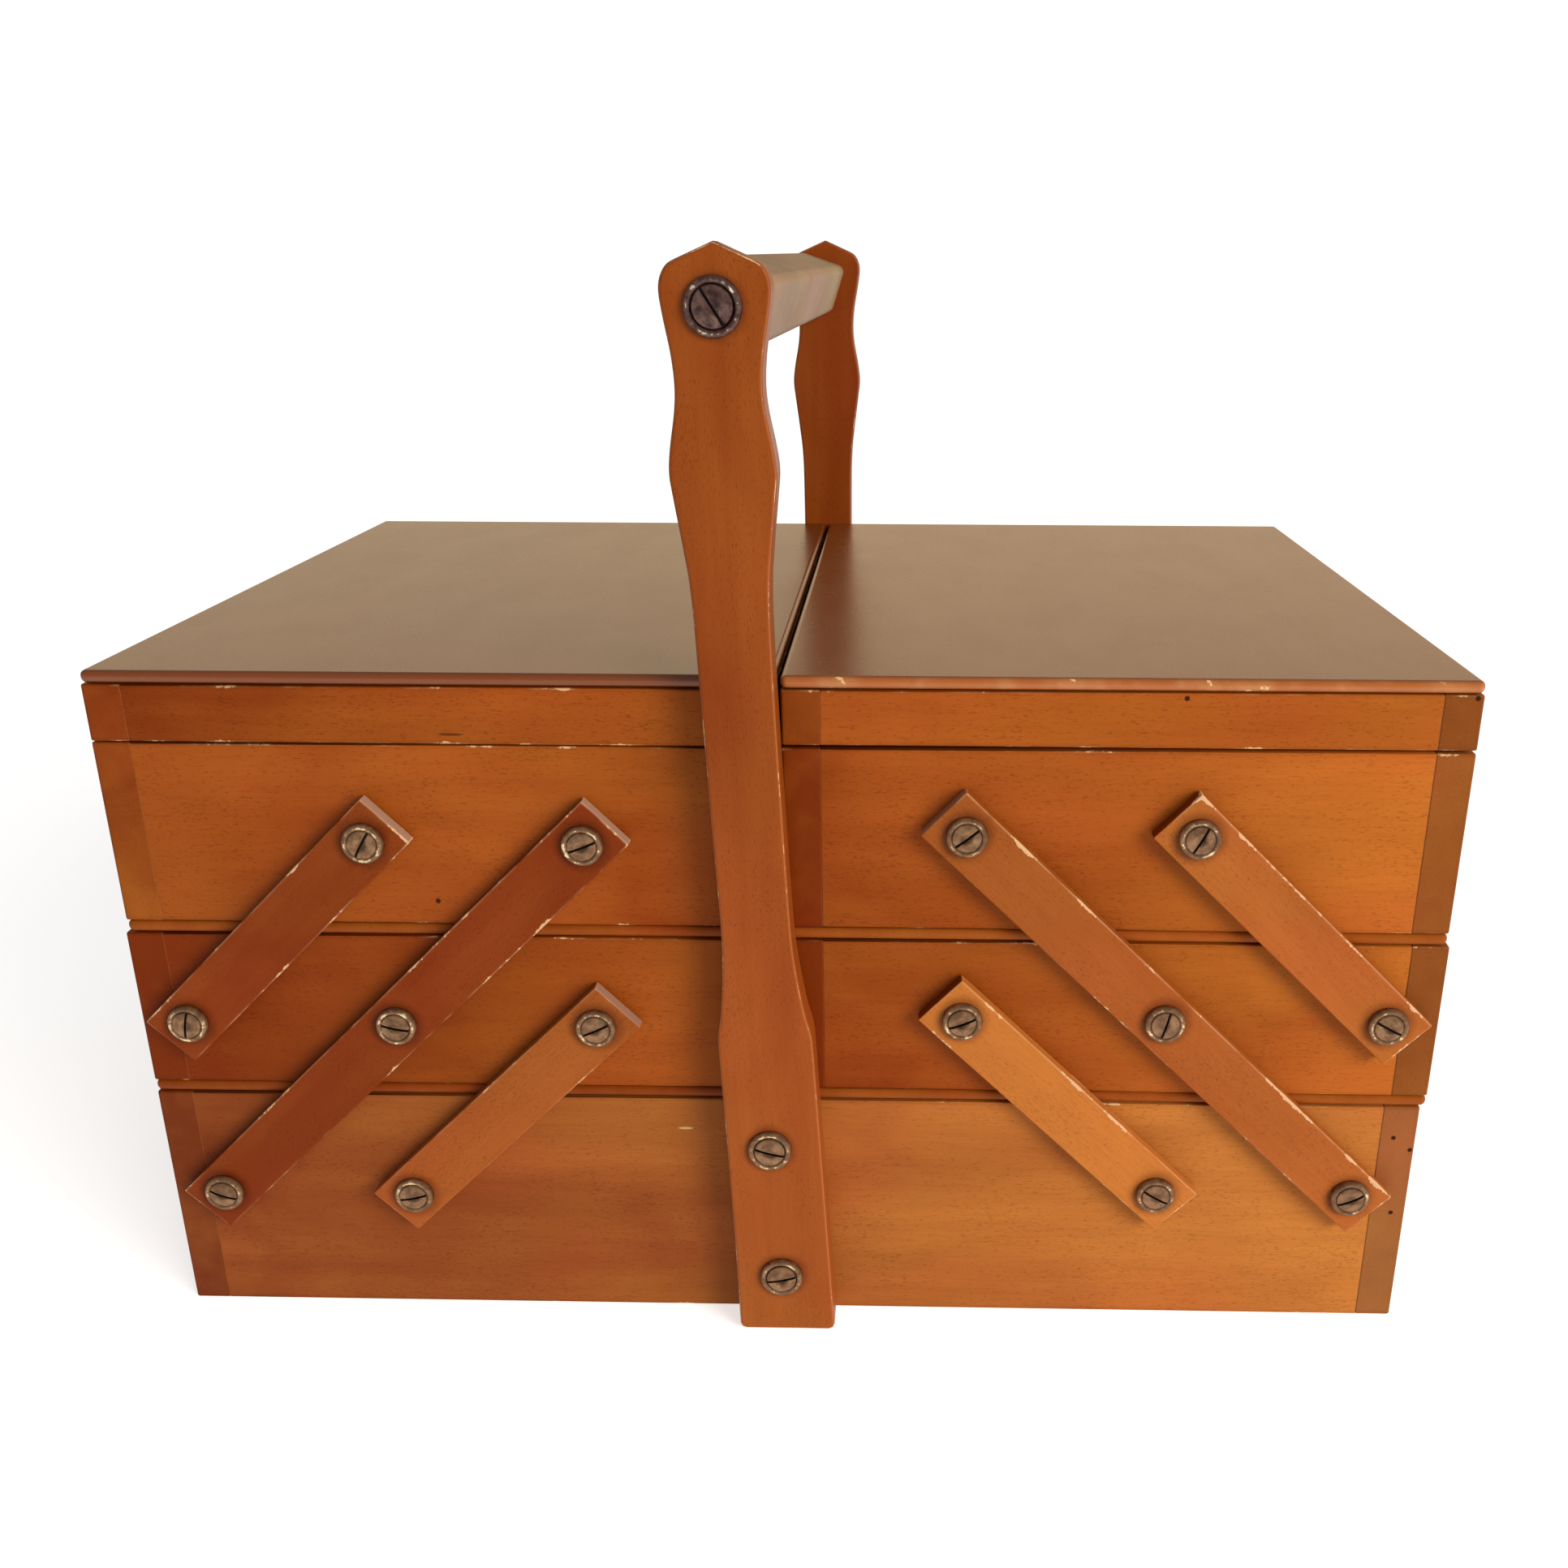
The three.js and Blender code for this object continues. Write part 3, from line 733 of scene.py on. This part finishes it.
def slotted_screw_template(head_radius, washer_radius):
    """A domed slotted head in a cup washer, standing on z = 0, as one bmesh."""
    head = bmesh.new()
    profile = [(0, -0.0004), (head_radius, -0.0004), (head_radius, HEAD_SIDE)]
    profile += arc((head_radius - HEAD_ROUNDING, HEAD_SIDE), HEAD_ROUNDING, 15, 75, 3)
    profile += [(head_radius * 0.55, HEAD_TOP - 0.00012), (0, HEAD_TOP)]
    lathe(head, profile, 40)
    slotted = cut_slot(head, SLOT_WIDTH, SLOT_DEPTH, HEAD_TOP)
    head.free()
    both = bmesh.new()
    both.from_mesh(slotted)
    crest = washer_radius - WASHER_CREST
    washer = [(head_radius + 0.00015, -0.0003), (washer_radius, -0.0003), (washer_radius, 0.0003)]
    washer += arc((crest, 0.0007), 0.0010, 10, 150, 8)
    washer += [(head_radius + 0.0003, 0.0008), (head_radius + 0.00015, 0.0004)]
    lathe(both, washer + washer[:1], 40)
    bmesh.ops.remove_doubles(both, verts=both.verts, dist=1e-6)
    bmesh.ops.recalc_face_normals(both, faces=both.faces)
    return both


def screw_kind(polygon, washer_radius):
    """Rubbed bright on the washer's crest, and marked inside the slot, whose dark is a painted shade."""
    place = polygon.center
    reach = place.to_2d().length
    off_crest = abs(reach - (washer_radius - WASHER_CREST)) / CREST_BAND
    rubbed = max(0.0, 1.0 - off_crest) * float(place.z > 0.0009)
    on_head = reach < washer_radius - 0.0020
    between_sides = abs(place.y) < SLOT_WIDTH * 0.51 and place.z < HEAD_TOP - 0.0001
    on_wall_or_floor = abs(polygon.normal.y) > 0.9 or place.z > HEAD_TOP - SLOT_DEPTH - 0.0001
    return rubbed, float(on_head and between_sides and on_wall_or_floor), 0.0


def add_screw(name, template, seat, face, angle, body, replaced, seed, washer_radius, metal="screw"):
    """Copies the template onto the seat, its head towards the face's outside, turned by angle."""
    bm = template.copy()
    mesh = bpy.data.meshes.new(name)
    bm.to_mesh(mesh)
    bm.free()
    put(mesh, "loc", "POINT", [v.co for v in mesh.vertices])
    put(mesh, "look", "POINT", [(seed, 0.5, 0.5)] * len(mesh.vertices))
    put(mesh, "kind", "FACE", [screw_kind(p, washer_radius) for p in mesh.polygons])
    outward = Vector((0, FACES[face], 0))
    turn = turned((math.cos(angle), 0, math.sin(angle)), outward)
    mesh.transform(Matrix.Translation(seat) @ turn.to_4x4())
    return add_object(name, mesh, METAL[metal], body, replaced)


# Slot angles in degrees as seen from the front, pivots of the left side and then of the right.
SLOT_ANGLES = {
    "left": {"base_outer": -20, "base_inner": 12, "middle_outer": 80, "middle_centre": -12,
             "middle_inner": 25, "upper_outer": 60, "upper_inner": 22},
    "right": {"base_outer": 25, "base_inner": -30, "middle_outer": -28, "middle_centre": 75,
              "middle_inner": 22, "upper_outer": 62, "upper_inner": 38},
}
REAR_TURN = 67
SCREW_LIFT = 0.0004        # from an arm's face to the foot of a pivot screw's washer
LEVEL_OF_HOLE = {"base": "base", "middle": "{}_middle_tray", "upper": "{}_upper_tray"}


def make_pivot_screws(template):
    seed = 100
    for side, angles in SLOT_ANGLES.items():
        for hole, degrees in angles.items():
            body = LEVEL_OF_HOLE[hole.split("_")[0]].format(side)
            for face, sign in FACES.items():
                node = f"{side}_{face}_{hole}_screw"
                arm_low, arm_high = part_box(f"{side}_{face}_long_arm")
                centre = node_centre(node)
                surface = arm_low.y if sign < 0 else arm_high.y
                angle = math.radians(degrees + (REAR_TURN if sign > 0 else 0))
                seat = (centre.x, surface + sign * SCREW_LIFT, centre.z)
                add_screw(f"{node}_head", template, seat, face, angle, body, [node], seed, WASHER_RADIUS)
                seed += 1


# ------------------------------------------------------------------ handle

# Half width and height of a handle arm's outline, from the foot to the roof of the head.
HANDLE_PROFILE = [
    (0.0162, 0.002), (0.0158, 0.031), (0.0155, 0.061), (0.0153, 0.090),
    (0.0152, 0.106), (0.0149, 0.1135), (0.0134, 0.121), (0.0118, 0.134),
    (0.0109, 0.149), (0.01085, 0.180), (0.0109, 0.236), (0.0113, 0.255),
    (0.0125, 0.267), (0.0143, 0.281), (0.01495, 0.2875), (0.0143, 0.294),
    (0.0125, 0.304), (0.0120, 0.311), (0.0126, 0.319), (0.0142, 0.3285),
    (0.01495, 0.3345), (0.0144, 0.3383), (0.0126, 0.3413), (0.0100, 0.3428),
]
HANDLE_PEAK = 0.3471
BOW_PEAK = 27 / 4          # brings the highest value of share ** 2 * (1 - share) to 1
HANDLE_SCREW_LIFT = 0.0003

# Slot angles in degrees as seen from the front.
FOOT_SLOTS = {"front": (12, -15), "rear": (62, 35)}
BAR_SLOTS = {"front": -57, "rear": 20}


def catmull_rom(points, steps):
    """A smooth curve through the points."""
    ends = [points[0]] + list(points) + [points[-1]]
    curve = []
    for a, b, c, d in zip(ends, ends[1:], ends[2:], ends[3:]):
        for i in range(steps):
            t = i / steps
            curve.append(tuple(
                0.5 * (2 * q + (r - p) * t + (2 * p - 5 * q + 4 * r - s) * t ** 2
                       + (3 * q - p - 3 * r + s) * t ** 3)
                for p, q, r, s in zip(a, b, c, d)))
    return curve + [tuple(points[-1])]


def handle_outline(rise):
    """The right half from the foot to the peak, and its mirror image back down."""
    foot = [(HANDLE_FOOT - 0.002, 0.0), (HANDLE_FOOT - 0.0006, 0.0006)]
    profile = [HANDLE_PROFILE[0]] + [(x, z + rise) for x, z in HANDLE_PROFILE[1:]]
    right = foot + catmull_rom(profile, 5) + [(0.0, HANDLE_PEAK + rise)]
    left = [(-x, z) for x, z in reversed(right[:-1])]
    return right + left


def arm_middle(arm, height):
    """The sideways place of a handle arm's middle. The bow is largest at two thirds of the height."""
    share = height / (HANDLE_PEAK + arm.rise)
    return arm.foot_x + arm.lean * height - arm.bow * BOW_PEAK * share ** 2 * (1 - share)


def handle_plate(outline, thickness):
    """The outline as a plate with rounded edges; own X is up, Y to the right and Z to the front."""
    bm = bmesh.new()
    bottom = bm.faces.new([bm.verts.new((z, x, -thickness / 2)) for x, z in outline])
    raised = bmesh.ops.extrude_face_region(bm, geom=[bottom])["geom"]
    top_corners = [g for g in raised if isinstance(g, bmesh.types.BMVert)]
    bmesh.ops.translate(bm, verts=top_corners, vec=(0, 0, thickness))
    bmesh.ops.recalc_face_normals(bm, faces=bm.faces)
    rims = [e for f in bm.faces if abs(f.normal.z) > 0.9 for e in f.edges]
    bmesh.ops.bevel(bm, geom=rims, offset=HANDLE_EASE, segments=4, profile=0.5, affect="EDGES")
    return bm


def make_handle_arm(face, seed, tone):
    node = f"handle_{face}_arm"
    arm = HANDLE_ARMS[face]
    low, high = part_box(node)
    thickness = high.y - low.y
    bm = handle_plate(handle_outline(arm.rise), thickness)
    mesh = bpy.data.meshes.new(node)
    bm.to_mesh(mesh)
    bm.free()
    crest = thickness / 2 - HANDLE_EASE * (1 - math.sqrt(0.5))
    on_crest = [float(abs(abs(v.co.z) - crest) < HANDLE_EASE * 0.1) for v in mesh.vertices]
    put(mesh, "loc", "POINT", [v.co for v in mesh.vertices])
    put(mesh, "half", "POINT", [(FAR, FAR, FAR)] * len(mesh.vertices))
    put(mesh, "look", "POINT", [(float(seed), 0.85, 0.2)] * len(mesh.vertices))
    put(mesh, "tone", "POINT", [tone[0] + (tone[1] - tone[0]) * v.co.x / HANDLE_PEAK for v in mesh.vertices])
    put(mesh, "kind", "POINT", [(0.0, 0.0, crest_share) for crest_share in on_crest])
    holes = [*FOOT_SCREWS, (0.0, BAR_SCREW_RISE)]
    for i, (sideways, height) in enumerate(holes):
        put(mesh, f"hole_{i}", "POINT", [(height, sideways, thickness / 2)] * len(mesh.vertices))
    middle_y = (low.y + high.y) / 2
    for vertex in mesh.vertices:
        height, sideways, outward = vertex.co
        vertex.co = (arm_middle(arm, height) + sideways, middle_y + FACES[face] * outward, height)
    if face == "front":
        mesh.flip_normals()
    mesh.update()
    add_object(f"{node}_strip", mesh, WOOD["strip"], "base", [node])


def make_bar():
    low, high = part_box("handle_bar")
    length = high.y - low.y
    look = Look(31, (0.5, 0.5), 0.5, 0.6)
    bar = Timber((length, BAR_WIDTH, BAR_HEIGHT), (0, 0, 0), Matrix.Identity(3), look)
    bar.ease(bar.edges_along(0, (0, 0)), 0.0032, 5)
    bar.ease(sharp_edges(bar.bm), 0.0003, 1)
    piece = bar.finish("handle_bar_grip", WOOD["bar"], "base", "bar_wood", ["handle_bar"])
    front, rear = (Vector((x, 0, z)) for x, z in BAR_ENDS.values())
    # The bar's own Y axis points to the left.
    section = Matrix.Rotation(BAR_TWIST, 3, "Y")
    for vertex in piece.data.vertices:
        own = vertex.co.copy()
        middle = front.lerp(rear, own.x / length + 0.5)
        along = Vector((0, low.y + length / 2 + own.x, 0))
        vertex.co = middle + section @ Vector((-own.y, 0, own.z)) + along
    piece.data.update()


def make_handle(foot_template, bar_template):
    for i, (face, sign) in enumerate(FACES.items()):
        arm = HANDLE_ARMS[face]
        make_handle_arm(face, 21 + i, (0.36, 0.10))
        low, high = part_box(f"handle_{face}_arm")
        surface = (low.y if sign < 0 else high.y) + sign * HANDLE_SCREW_LIFT
        for j, (sideways, height) in enumerate(FOOT_SCREWS):
            seat = (arm_middle(arm, height) + sideways, surface, height)
            angle = math.radians(FOOT_SLOTS[face][j])
            add_screw(f"handle_{face}_foot_screw_{j}", foot_template, seat, face, angle, "base", (),
                      150 + 2 * i + j, FOOT_WASHER)
        height = BAR_SCREW_RISE + arm.rise
        seat = (arm_middle(arm, height) + BAR_SCREW_SHIFT, surface, height)
        angle = math.radians(BAR_SLOTS[face])
        add_screw(f"handle_{face}_bar_screw", bar_template, seat, face, angle, "base", (),
                  160 + i, BIG_WASHER, "bar_screw")
    make_bar()


# ------------------------------------------------------------------ hinges

def dress_hinges():
    """The CAD leaves keep their shape and take worn brass."""
    for side in SIDES:
        for leaf in ("tray", "lid"):
            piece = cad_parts[f"{side}_hinge_{leaf}_leaf"]
            piece.data.materials.clear()
            piece.data.materials.append(METAL["hinge"])


# ------------------------------------------------------------------ stage

def make_world():
    """White for the camera, and a dimmer even light on everything else."""
    world = bpy.data.worlds.new("studio")
    world.use_nodes = True
    nodes, links = world.node_tree.nodes, world.node_tree.links
    light = nodes["Background"]
    light.inputs["Color"].default_value = (1.0, 0.985, 0.95, 1.0)
    light.inputs["Strength"].default_value = AMBIENT
    backdrop = nodes.new("ShaderNodeBackground")
    backdrop.inputs["Color"].default_value = (1.0, 1.0, 1.0, 1.0)
    backdrop.inputs["Strength"].default_value = BACKDROP
    path = nodes.new("ShaderNodeLightPath")
    mix = nodes.new("ShaderNodeMixShader")
    links.new(path.outputs["Is Camera Ray"], mix.inputs["Fac"])
    links.new(light.outputs[0], mix.inputs[1])
    links.new(backdrop.outputs[0], mix.inputs[2])
    links.new(mix.outputs[0], nodes["World Output"].inputs["Surface"])
    bpy.context.scene.world = world


def make_floor():
    bm = bmesh.new()
    bmesh.ops.create_grid(bm, x_segments=1, y_segments=1, size=FLOOR_SIZE / 2)
    mesh = bpy.data.meshes.new("floor")
    bm.to_mesh(mesh)
    bm.free()
    floor = bpy.data.objects.new("floor", mesh)
    bpy.context.scene.collection.objects.link(floor)
    floor.location.z = -0.0002
    g = Graph("pale_floor")
    g.set(base_color=(0.90, 0.90, 0.90), roughness=0.9, emission_color=(1.0, 1.0, 1.0))
    g.shader.inputs["Emission Strength"].default_value = FLOOR_GLOW
    g.shader.inputs["Specular IOR Level"].default_value = 0.1
    mesh.materials.append(g.material)


def aim(light, place, target):
    light.location = place
    light.rotation_euler = (Vector(target) - Vector(place)).to_track_quat("-Z", "Y").to_euler()
    bpy.context.scene.collection.objects.link(light)


def add_panel(name, place, target, size, power, color, mirrored):
    """A soft lamp that the camera doesn't see: it is only mirrored in glossy faces, or never is."""
    data = bpy.data.lights.new(name, "AREA")
    data.shape = "RECTANGLE"
    data.size, data.size_y = size
    data.energy = power
    data.color = color
    panel = bpy.data.objects.new(name, data)
    panel.visible_camera = False
    panel.visible_diffuse = not mirrored
    panel.visible_glossy = mirrored
    aim(panel, place, target)


def make_lights():
    """A low, broad key from the right in front, a nearer panel on that side, and a cream wall behind."""
    centre = (0, 0, 0.12)
    sun = bpy.data.lights.new("key", "SUN")
    sun.energy = KEY
    sun.angle = math.radians(34)
    sun.color = (1.0, 0.965, 0.91)
    key = bpy.data.objects.new("key", sun)
    key.visible_glossy = False       # mirrored, it bleaches the lids when they are seen from behind
    aim(key, (1.0, -0.95, 0.55), centre)
    add_panel(
        "side_panel", (0.85, -0.75, 0.45), (0.12, -0.14, 0.1), (0.5, 0.5),
        SIDE_PANEL, (1.0, 0.96, 0.90), mirrored=False)
    add_panel(
        "wall_panel", (0.0, 2.6, 0.95), (0, 0, 0.3), (4.2, 1.5),
        WALL_PANEL, (1.0, 0.63, 0.23), mirrored=True)


def make_camera():
    data = bpy.data.cameras.new("camera")
    data.sensor_width = 36.0
    data.lens = CAMERA_LENS
    data.shift_x, data.shift_y = CAMERA_SHIFT
    data.clip_start = 0.01
    camera = bpy.data.objects.new("camera", data)
    yaw, pitch = CAMERA_YAW, CAMERA_PITCH
    forward = Vector((math.sin(yaw) * math.cos(pitch), math.cos(yaw) * math.cos(pitch), -math.sin(pitch)))
    level = Vector((math.cos(yaw), -math.sin(yaw), 0))
    turn = Matrix.Rotation(CAMERA_ROLL, 3, forward) @ turned(level, -forward)
    camera.matrix_world = Matrix.Translation(CAMERA_PLACE) @ turn.to_4x4()
    bpy.context.scene.collection.objects.link(camera)
    bpy.context.scene.camera = camera


# ------------------------------------------------------------------ assembly

make_camera()
make_world()
make_floor()
make_lights()
make_base()
for number, side in enumerate(SIDES):
    make_tray(side, "middle", 40 + 10 * number)
    make_tray(side, "upper", 60 + 10 * number)
    make_lid(side, 80 + 10 * number)
    for index, name in enumerate(ARM_HOLES):
        for face in FACES:
            make_arm(side, face, name, 11 + 3 * number + index + (0.5 if face == "rear" else 0))
make_pivot_screws(slotted_screw_template(HEAD_RADIUS, WASHER_RADIUS))
make_handle(slotted_screw_template(FOOT_HEAD, FOOT_WASHER), slotted_screw_template(BIG_HEAD, BIG_WASHER))
dress_hinges()

bpy.context.scene.view_settings.view_transform = "Standard"
